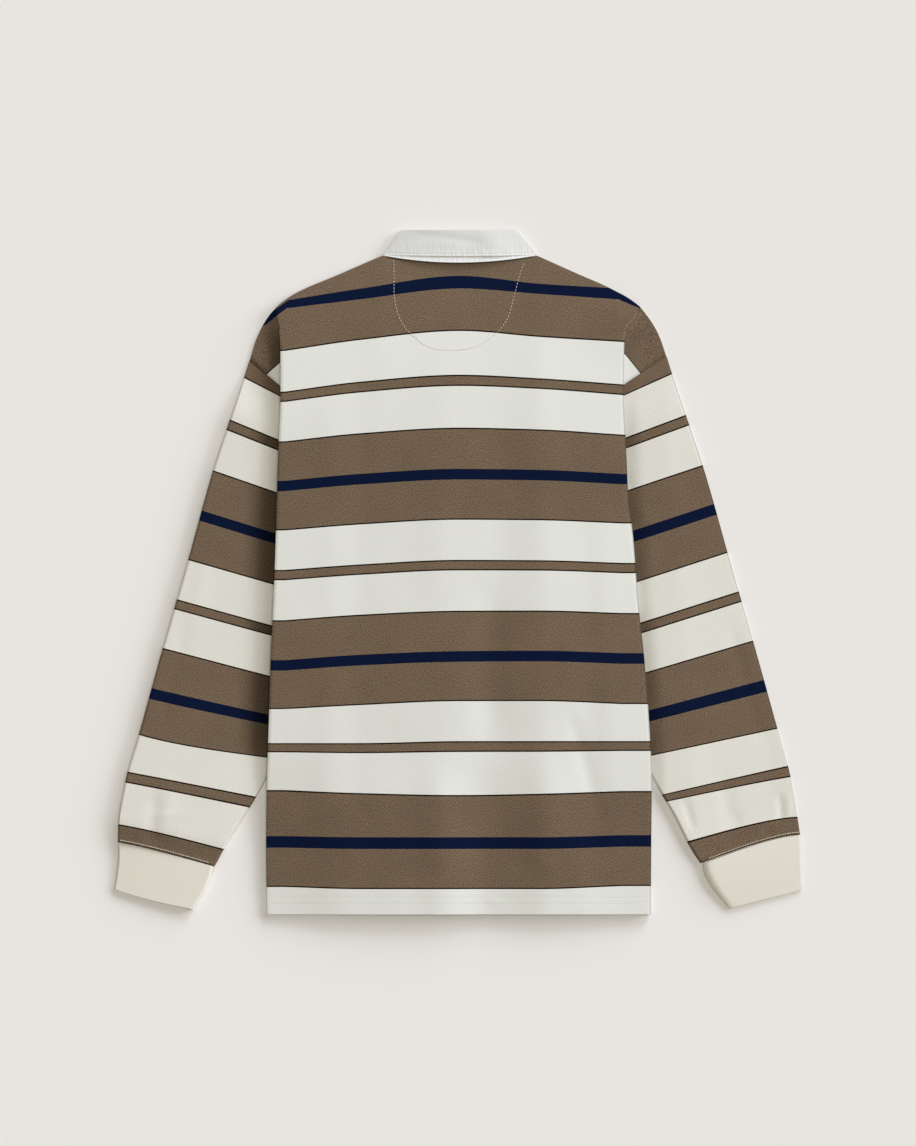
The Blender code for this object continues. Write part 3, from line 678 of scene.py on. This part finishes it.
def collarHalf(kind, share, side):
    # half a row of the collar: over the back of the neck, round its side and along the front
    sizes = collar[kind]
    neck = body["neck"][side]
    taper = collar["taper"] * ease((share - collar["taperFrom"]) / collar["taperRun"])
    half = neck + (sizes["half"] - neck) * (share + taper)
    turnX = half - foldReach
    back, beside = [low + (high - low) * share for low, high in zip(sizes["low"], sizes["high"])]
    radius = jersey["foldRadius"]
    points = []
    for x in turnX * np.arange(collar["topSteps"] + 1) / collar["topSteps"]:
        points.append((x, back + (beside - back) * (x / half) ** 2, lowMid + 2 * radius, 0.0, 1.0))
    for i in range(1, collar["arcSteps"] + 1):
        a = math.pi * i / collar["arcSteps"]
        out = math.sin(a) ** (collar["edgeBox"] if a < math.pi / 2 else 1.0)
        points.append((turnX + radius * out, beside, lowMid + radius * (1 + math.cos(a)),
                       math.sin(a), math.cos(a)))
    rise = sizes["high"][1] - sizes["frontHigh"]
    for t in np.arange(1, collar["frontSteps"] + 1) / collar["frontSteps"]:
        if kind == "leaf":
            low = (1 - t) ** 2 * np.array((neck - foldReach, sizes["low"][1])) \
                + 2 * t * (1 - t) * np.array(collar["pointBend"]) + t * t * np.array(collar["point"])
            x = (1 - t) * sizes["half"] + t * collar["frontEnd"]
        else:
            x = neck * (1 - t) + body["middle"] * t
            low = np.array((x, body["top"] + 0.3 - body["frontDip"] * (1 - (x / neck) ** 2)))
            x = x * sizes["half"] / neck
        high = np.array((x, sizes["frontHigh"] + rise * (x / sizes["half"]) ** 2))
        points.append((*(low + (high - low) * share), lowMid, 0.0, -1.0))
    return np.array(points)


def collarPiece(kind):
    rows, cloth = [], []
    off = collar[kind]["off"]
    seamRise, seamShare = collar["seam"][kind]
    at, width, depth = collar["groove"]
    for share in (0.0, 0.004, 0.03, 0.055, 0.075, 0.095, 0.12, *np.linspace(0.15, 0.96, collar["rows"]),
                  0.996, 1.0):
        halves = [collarHalf(kind, share, side) for side in sides]
        mirrored = halves[0][:0:-1] * (-1, 1, 1, -1, 1)
        x, y, z, nx, nz = np.concatenate([mirrored, halves[1]]).T
        up = collar["arch"] * (1 - (x / collar["archHalf"]) ** 2) \
            + seamRise * (1.0 - min(share / seamShare, 1.0)) ** 1.6
        if kind == "leaf":
            up = up + creaseHeight(collar["creases"], x, y) - depth * math.exp(-((share - at) / width) ** 2)
        x, z = x + nx * off, z + nz * off + np.maximum(nz, 0.0) * up
        along = np.concatenate([[0.0], np.cumsum(np.hypot(np.diff(x), np.diff(y)))])
        rows.append(np.stack([x, y, z], 1))
        cloth.append(np.stack([along - along[-1] / 2, np.full_like(x, share * collar["shareHigh"])], 1))
    return clothPiece("collar_%s_shell" % kind, np.array(rows), np.array(cloth),
                      collar["wall"][kind])


collarPieces = {kind: collarPiece(kind) for kind in ("stand", "leaf")}
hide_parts("collar_stand")
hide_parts("collar_leaf")
print("collar laid out")

# ---- placket under the front opening
placket = {"half": 18.0, "bottom": 110.0, "top": 259.0, "height": 0.6, "wall": 1.0}
gridX, gridY = np.meshgrid(np.linspace(-placket["half"], placket["half"], 13),
                           np.linspace(placket["top"], placket["bottom"], 40))
points = np.stack([gridX, gridY, np.full_like(gridX, placket["height"])], 2)
placketPiece = clothPiece("placket_strip", points, points[:, :, :2], placket["wall"])
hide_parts("placket")


# ---- materials
def linear(code):
    # sRGB hex to the linear colour that a shader wants
    channels = [int(code[i:i + 2], 16) / 255 for i in (1, 3, 5)]
    return tuple(c / 12.92 if c <= 0.04045 else ((c + 0.055) / 1.055) ** 2.4 for c in channels) + (1.0,)


def linkTo(node, links):
    # a node that is given as a source links by its first socket
    for name, source in links.items():
        socket = source if isinstance(source, bpy.types.NodeSocket) else source.outputs[0]
        node.id_data.links.new(socket, node.inputs[name])


def addNode(tree, kind, settings=(), links=()):
    # a setting goes to a socket of that name or number, or else to the node itself
    node = tree.nodes.new("ShaderNode" + kind)
    for name, value in dict(settings).items():
        if isinstance(name, int) or name in node.inputs:
            node.inputs[name].default_value = value
        else:
            setattr(node, name, value)
    linkTo(node, dict(links))
    return node


def newMaterial(name, finish):
    # the material, what adds a node to it, and its shader
    material = bpy.data.materials.new(name)
    material.use_nodes = True
    shader = material.node_tree.nodes["Principled BSDF"]
    for socket, value in finish.items():
        shader.inputs[socket].default_value = value
    return material, partial(addNode, material.node_tree), shader


def setRamp(node, stops, mode="LINEAR"):
    ramp = node.color_ramp
    ramp.interpolation = mode
    while len(ramp.elements) > 1:
        ramp.elements.remove(ramp.elements[-1])
    ramp.elements[0].position, ramp.elements[0].color = stops[0]
    for position, colour in stops[1:]:
        ramp.elements.new(position).color = colour


def paintRimShade(add, colour):
    # painted shade: folded edges that face the lamps are painted darker, so that they light up less
    rim = add("Attribute", {"attribute_name": "rim"})
    kept = add("MapRange", {3: 1.0, 4: edges["rimColourKept"]}, {0: rim.outputs["Fac"]})
    return add("VectorMath", {"operation": "SCALE"}, {0: colour, "Scale": kept})


def jerseyMaterial(name, white):
    # heavy cotton jersey, yarn dyed: matt, a little heathered, with fine upright wales
    look = {"navy": "#08142f", "brown": "#6e5d4b", "white": white, "turn": "#1c0e05",
            "grain": 0.85, "mottle": 0.05, "waleMm": 2.6, "courseMm": 1.9, "turnMm": 1.8,
            "fleckPerM": (980.0, 700.0, 1.0), "patchPerM": 22.0}
    material, add, shader = newMaterial(name, {"Roughness": 0.92, "Specular IOR Level": 0.05,
                                               "Sheen Weight": 0.015, "Sheen Roughness": 0.5})
    uv = add("UVMap", {"uv_map": "cloth"})
    split = add("SeparateXYZ", {}, {0: uv})
    down = add("Math", {"operation": "MULTIPLY", 1: -1000.0 / repeatLength}, {0: split.outputs["Y"]})
    wrapped = add("Math", {"operation": "FRACT"}, {0: down})
    # a thin dark line where brown yarn meets white
    stops, at, edge = [], 0.0, look["turnMm"] / repeatLength
    for i, (colour, width) in enumerate(stripes["repeat"]):
        darkEnds = [neighbour == "white" and colour == "brown" for neighbour in
                    (stripes["repeat"][i - 1][0], stripes["repeat"][(i + 1) % 6][0])]
        if darkEnds[0]:
            stops.append((at, linear(look["turn"])))
        stops.append((at + edge * darkEnds[0], linear(look[colour])))
        at += width / repeatLength
        if darkEnds[1]:
            stops.append((at - edge, linear(look["turn"])))
    yarn = add("ValToRGB", {}, {0: wrapped})
    setRamp(yarn, stops, "CONSTANT")
    # heather: short upright flecks, and broad soft patches
    flecks = add("Mapping", {"Scale": look["fleckPerM"]}, {"Vector": uv})
    fine = add("TexNoise", {"Scale": 1.0, "Detail": 3.0, "Roughness": 0.7}, {"Vector": flecks})
    broad = add("TexNoise", {"Scale": look["patchPerM"], "Detail": 2.0}, {"Vector": uv})
    fineTone = add("MapRange", {1: 0.25, 2: 0.75, 3: 1 - look["grain"], 4: 1 + look["grain"]},
                   {0: fine.outputs["Fac"]})
    broadTone = add("MapRange", {1: 0.3, 2: 0.7, 3: 1 - look["mottle"], 4: 1 + look["mottle"]},
                    {0: broad.outputs["Fac"]})
    tone = add("Math", {"operation": "MULTIPLY"}, {0: fineTone, 1: broadTone})
    # pale cloth shows less heather than dark
    grey = add("RGBToBW", {}, {0: yarn})
    keepTone = add("MapRange", {1: 0.1, 2: 0.7, 3: 1.0, 4: 0.14}, {0: grey})
    away = add("Math", {"operation": "SUBTRACT", 1: 1.0}, {0: tone})
    soft = add("Math", {"operation": "MULTIPLY_ADD", 2: 1.0}, {0: away, 1: keepTone})
    # painted shade and painted highlight: the dark yarn is painted darker where a piece carries painted
    # shading, and lighter where that shading is negative; pale yarn is hardly touched
    deep = add("Attribute", {"attribute_name": "deep"})
    dark = add("MapRange", {1: 0.2, 2: 0.6, 3: 1.0, 4: 0.0}, {0: grey})
    paintedDarkening = add("Math", {"operation": "MULTIPLY"}, {0: deep.outputs["Fac"], 1: dark})
    left = add("Math", {"operation": "SUBTRACT", 0: 1.0}, {1: paintedDarkening})
    shaded = add("Math", {"operation": "MULTIPLY"}, {0: soft, 1: left})
    toned = add("VectorMath", {"operation": "SCALE"}, {0: yarn, "Scale": shaded})
    # wales and courses of the knit, drawn about twice as coarse as real so that they show
    wale = add("Math", {"operation": "MULTIPLY", 1: 1000.0 / look["waleMm"]}, {0: split})
    zigzag = add("Math", {"operation": "PINGPONG", 1: 0.5}, {0: wale})
    lean = add("Math", {"operation": "MULTIPLY_ADD", 1: 1000.0 / look["courseMm"]},
               {0: split.outputs["Y"], 2: zigzag})
    course = add("Math", {"operation": "PINGPONG", 1: 0.5}, {0: lean})
    loops = add("Math", {"operation": "MULTIPLY"}, {0: zigzag, 1: course})
    fuzzy = add("Math", {"operation": "MULTIPLY_ADD", 1: 0.3}, {0: loops, 2: fine.outputs["Fac"]})
    bump = add("Bump", {"Strength": 0.12, "Distance": 0.0006}, {"Height": fuzzy})
    linkTo(shader, {"Base Color": paintRimShade(add, toned), "Normal": bump})
    return material


def twillMaterial():
    # bleached cotton twill of the collar: clean white, with a fine diagonal line
    look = {"white": "#d6d6d2", "lineMm": 1.6, "lineTurn": 63.0, "slubPerM": 900.0,
            "puckerPerM": (330.0, 60.0, 1.0)}
    material, add, shader = newMaterial("white cotton twill", {"Roughness": 0.8, "Specular IOR Level": 0.3})
    uv = add("UVMap", {"uv_map": "cloth"})
    slanted = add("Mapping", {"Rotation": (0.0, 0.0, math.radians(look["lineTurn"])),
                              "Scale": (1000.0 / look["lineMm"],) * 3}, {"Vector": uv})
    part = add("SeparateXYZ", {}, {0: slanted})
    ribs = add("Math", {"operation": "PINGPONG", 1: 0.5}, {0: part})
    noise = add("TexNoise", {"Scale": look["slubPerM"], "Detail": 2.0}, {"Vector": uv})
    tone = add("MapRange", {1: 0.3, 2: 0.7, 3: 0.98, 4: 1.02}, {0: noise.outputs["Fac"]})
    base = add("VectorMath", {"operation": "SCALE", 0: linear(look["white"])[:3]}, {"Scale": tone})
    high = add("Math", {"operation": "MULTIPLY_ADD", 1: 0.5}, {0: noise.outputs["Fac"], 2: ribs})
    bump = add("Bump", {"Strength": 0.2, "Distance": 0.0004}, {"Height": high})
    # short upright puckers drawn up by the seam at the lower edge
    stretched = add("Mapping", {"Scale": look["puckerPerM"]}, {"Vector": uv})
    puckers = add("TexNoise", {"Scale": 1.0, "Detail": 2.0}, {"Vector": stretched})
    place = add("SeparateXYZ", {}, {0: uv})
    fade = add("MapRange", {1: 0.002, 2: 0.018, 3: 1.0, 4: 0.15}, {0: place.outputs["Y"]})
    drawn = add("Math", {"operation": "MULTIPLY"}, {0: puckers.outputs["Fac"], 1: fade})
    pucker = add("Bump", {"Strength": 0.5, "Distance": 0.0012}, {"Height": drawn, "Normal": bump})
    linkTo(shader, {"Base Color": paintRimShade(add, base), "Normal": pucker})
    return material


def ribMaterial():
    # cream cotton rib of the cuffs: upright ribs that soften the light, slightly fuzzy
    look = {"cream": "#dbd7c9", "ribMm": 2.8, "fuzzPerM": 700.0}
    material, add, shader = newMaterial("cream cotton rib", {"Roughness": 0.9, "Sheen Weight": 0.15,
                                                             "Sheen Roughness": 0.5})
    uv = add("UVMap", {"uv_map": "cloth"})
    split = add("SeparateXYZ", {}, {0: uv})
    count = add("Math", {"operation": "MULTIPLY", 1: 1000.0 / look["ribMm"]}, {0: split})
    rib = add("Math", {"operation": "PINGPONG", 1: 0.5}, {0: count})
    noise = add("TexNoise", {"Scale": look["fuzzPerM"], "Detail": 3.0}, {"Vector": uv})
    # painted shade: the cream is painted a little darker in the hollows between the ribs
    tone = add("MapRange", {1: 0.0, 2: 0.5, 3: 0.965, 4: 1.02}, {0: rib})
    base = add("VectorMath", {"operation": "SCALE", 0: linear(look["cream"])[:3]}, {"Scale": tone})
    high = add("Math", {"operation": "MULTIPLY_ADD", 1: 0.3}, {0: noise.outputs["Fac"], 2: rib})
    bump = add("Bump", {"Strength": 0.3, "Distance": 0.0007}, {"Height": high})
    linkTo(shader, {"Base Color": paintRimShade(add, base), "Normal": bump})
    return material


def rubberMaterial():
    # moulded rubber buttons: off-white, dull, faintly cloudy
    look = {"darker": "#d9d6cb", "paler": "#e3e0d6", "cloudPerM": 400.0}
    material, add, shader = newMaterial("moulded rubber", {"Roughness": 0.55})
    where = add("TexCoord").outputs["Object"]
    noise = add("TexNoise", {"Scale": look["cloudPerM"]}, {0: where})
    cloud = add("ValToRGB", {}, {0: noise.outputs["Fac"]})
    setRamp(cloud, [(0.3, linear(look["darker"])), (0.7, linear(look["paler"]))])
    linkTo(shader, {"Base Color": cloud})
    return material


def threadMaterial(name, code):
    # spun cotton sewing thread: soft, a little lighter and darker along its twist
    material, add, shader = newMaterial(name, {"Roughness": 0.7})
    where = add("TexCoord").outputs["Object"]
    twist = add("TexNoise", {"Scale": 2500.0}, {0: where})
    tone = add("MapRange", {3: 0.9, 4: 1.1}, {0: twist.outputs["Fac"]})
    base = add("VectorMath", {"operation": "SCALE", 0: linear(code)[:3]}, {"Scale": tone})
    linkTo(shader, {"Base Color": base})
    return material


stripedJersey = jerseyMaterial("striped cotton jersey", "#dadad2")
sleeveJersey = jerseyMaterial("striped cotton jersey of the sleeves", "#d9d6cc")
creamThread = threadMaterial("cream thread", "#cfc2ac")
whiteThread = threadMaterial("white thread", "#dcdcd6")
neckShadowThread = threadMaterial("dark brown thread for the painted neck shadow", "#2a180c")
for pieces, material, slot in (((back, front, placketPiece), stripedJersey, "jersey"),
                               (sleevePieces.values(), sleeveJersey, "jersey"),
                               (collarPieces.values(), twillMaterial(), "collar_twill"),
                               (cuffPieces.values(), ribMaterial(), "cuff_rib")):
    for piece in pieces:
        piece.data.materials.append(material)
rubber = rubberMaterial()
for i in (1, 2, 3):
    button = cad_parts["button_%d" % i]
    button.data.materials.clear()
    button.data.materials.append(rubber)
print("materials made")

# ---- sewing: in each seam, from one stitch to the next and how thick
sewing = {
    "length": 2.4, "proud": 0.1,
    "patch": (3.7, 0.38), "neck": (2.2, 0.45), "hem": (3.0, 0.26), "cuff": (2.8, 0.5),
    "hemEnds": (-203.0, 204.0), "neckEnds": (-79.0, 82.0), "neckDown": 1.0, "neckSag": 8.0,
    "patchLine": ((-70.6, 341), (-70.1, 327), (-70.1, 306), (-69, 295), (-64.6, 279), (-53.7, 262),
                  (-49.8, 259.3), (-36.1, 248.3), (-20.3, 243.4), (-1.1, 242.8), (14.2, 245), (42.7, 261.4),
                  (54.8, 279), (60.8, 299.8), (63.5, 309.6), (66.8, 322.7), (72.3, 339)),
}


def alongPath(path):
    return np.concatenate([[0.0], np.cumsum(np.hypot(*np.diff(path, axis=0).T))])


def stitchLine(name, onto, path, thread, seam):
    # short stitches along a path, dropped onto the cloth
    every, size = sewing[seam]
    cloth = BVHTree.FromObject(onto, bpy.context.evaluated_depsgraph_get())
    path = np.array(path, float)
    along = alongPath(path)
    bm = bmesh.new()
    for start in np.arange(0.0, along[-1] - sewing["length"], every):
        ends = []
        for s in (start, start + sewing["length"]):
            x, y = [np.interp(s, along, column) for column in path.T]
            hit, normal, _, _ = cloth.ray_cast(Vector((x * mm, y * mm, 0.1)), Vector((0, 0, -1)))
            if hit is not None:
                ends.append(hit + normal * sewing["proud"] * mm)
        if len(ends) < 2:
            continue
        run = ends[1] - ends[0]
        turn = run.to_track_quat("Z", "Y").to_matrix().to_4x4()
        shape = Matrix.Diagonal((size * mm, size * mm, run.length / 2, 1.0))
        bmesh.ops.create_uvsphere(bm, u_segments=6, v_segments=5, radius=1.0,
                                  matrix=Matrix.Translation((ends[0] + ends[1]) / 2) @ turn @ shape)
    piece = makePiece(bm, name)
    piece.data.shade_smooth()
    piece.data.materials.append(thread)
    return piece


def smoothPath(points, count=120):
    points = np.array(points, float)
    t = alongPath(points)
    fine = np.linspace(0.0, t[-1], count)
    return np.stack([curveThrough(t, column)(fine) for column in points.T], 1)


patch = stitchLine("patch_stitches", back, smoothPath(sewing["patchLine"]), creamThread, "patch")
# the neck seam is sewn close in dark thread as one continuous line: a seam that also paints the shadow line
# under the collar stand's lower edge
neckX = np.linspace(*sewing["neckEnds"], 80)
neckY = collar["stand"]["low"][0] - sewing["neckDown"] + sewing["neckSag"] * (neckX / 85.0) ** 2
neckShadowSeam = stitchLine("neck_seam_painted_shadow", back, np.stack([neckX, neckY], 1), neckShadowThread, "neck")
hemLines = []
for i, above in enumerate(body["hemRows"]):
    ends = [(x, body["hem"] + above) for x in sewing["hemEnds"]]
    hemLines.append(stitchLine("hem_stitches_%d" % (i + 1), back, ends, whiteThread, "hem"))
cuffLines = {}
for side, sign in sides.items():
    (x0, y0), (x1, y1) = cuff["corners"][side][:2]
    points = []
    for s in np.linspace(0.02, 0.97, 40):
        up = cuff["bow"][side][0] * bowed(s) + cuff["stitchUp"][side]
        points.append((sign * (x0 + (x1 - x0) * s), y0 + (y1 - y0) * s + up))
    cuffLines[side] = stitchLine("cuff_stitches_" + side, sleevePieces[side], points, creamThread, "cuff")
print("seams sewn")

# ---- every piece is on the shirt's one body; each cloth piece's flat layout, in metres, is its cloth map laid out above
for piece in (back, front, *sleevePieces.values(), *cuffPieces.values(), *collarPieces.values(),
              placketPiece, patch, neckShadowSeam, *hemLines, *cuffLines.values()):
    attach(piece, "root")

# ---- floor, light and camera
studio = {"floor": "#e8e5e0", "keyTurns": (22.0, 62.0), "keyRise": 15.0, "keyAngle": 28.0, "key": 3.04,
          "keyColour": (0.86, 0.893, 1.0), "topTurn": 45.0, "topRise": 86.0, "topAngle": 30.0, "top": 1.41,
          "sky": 0.123, "fillColour": (1.0, 0.97, 0.88), "floorHalf": 5.0, "floorZ": -0.0002}
bm = bmesh.new()
bmesh.ops.create_grid(bm, x_segments=1, y_segments=1, size=studio["floorHalf"])
floor = makePiece(bm, "floor")
floor.location.z = studio["floorZ"]
paper, _, _ = newMaterial("pale paper", {"Base Color": linear(studio["floor"]), "Roughness": 0.95,
                                         "Specular IOR Level": 0.0})
floor.data.materials.append(paper)


def sunFrom(name, turn, rise, angle, strength, colour):
    light = bpy.data.lights.new(name, "SUN")
    light.color = colour
    light.energy = strength
    light.angle = math.radians(angle)
    lamp = bpy.data.objects.new(name, light)
    a, e = math.radians(turn), math.radians(rise)
    toLight = Vector((math.cos(a) * math.cos(e), math.sin(a) * math.cos(e), math.sin(e)))
    lamp.rotation_euler = toLight.to_track_quat("Z", "Y").to_euler()
    bpy.context.scene.collection.objects.link(lamp)


for i, turn in enumerate(studio["keyTurns"]):
    sunFrom("soft key %d" % (i + 1), turn, studio["keyRise"], studio["keyAngle"], studio["key"],
            studio["keyColour"])
sunFrom("overhead", studio["topTurn"], studio["topRise"], studio["topAngle"], studio["top"],
        studio["fillColour"])
world = bpy.data.worlds.new("studio")
world.use_nodes = True
sky = world.node_tree.nodes["Background"]
sky.inputs["Color"].default_value = (*studio["fillColour"], 1.0)
sky.inputs["Strength"].default_value = studio["sky"]
bpy.context.scene.world = world
bpy.context.scene.view_settings.view_transform = "Standard"
bpy.context.scene.view_settings.look = "None"

view = {"distance": 12.0, "height": 1.2549, "middleY": -0.00137}
lens = bpy.data.cameras.new("camera")
lens.sensor_width = 36.0
lens.lens = 36.0 * view["distance"] / view["height"]
camera = bpy.data.objects.new("camera", lens)
camera.location = (0.0, view["middleY"], view["distance"])
bpy.context.scene.collection.objects.link(camera)
bpy.context.scene.camera = camera
print("studio set")
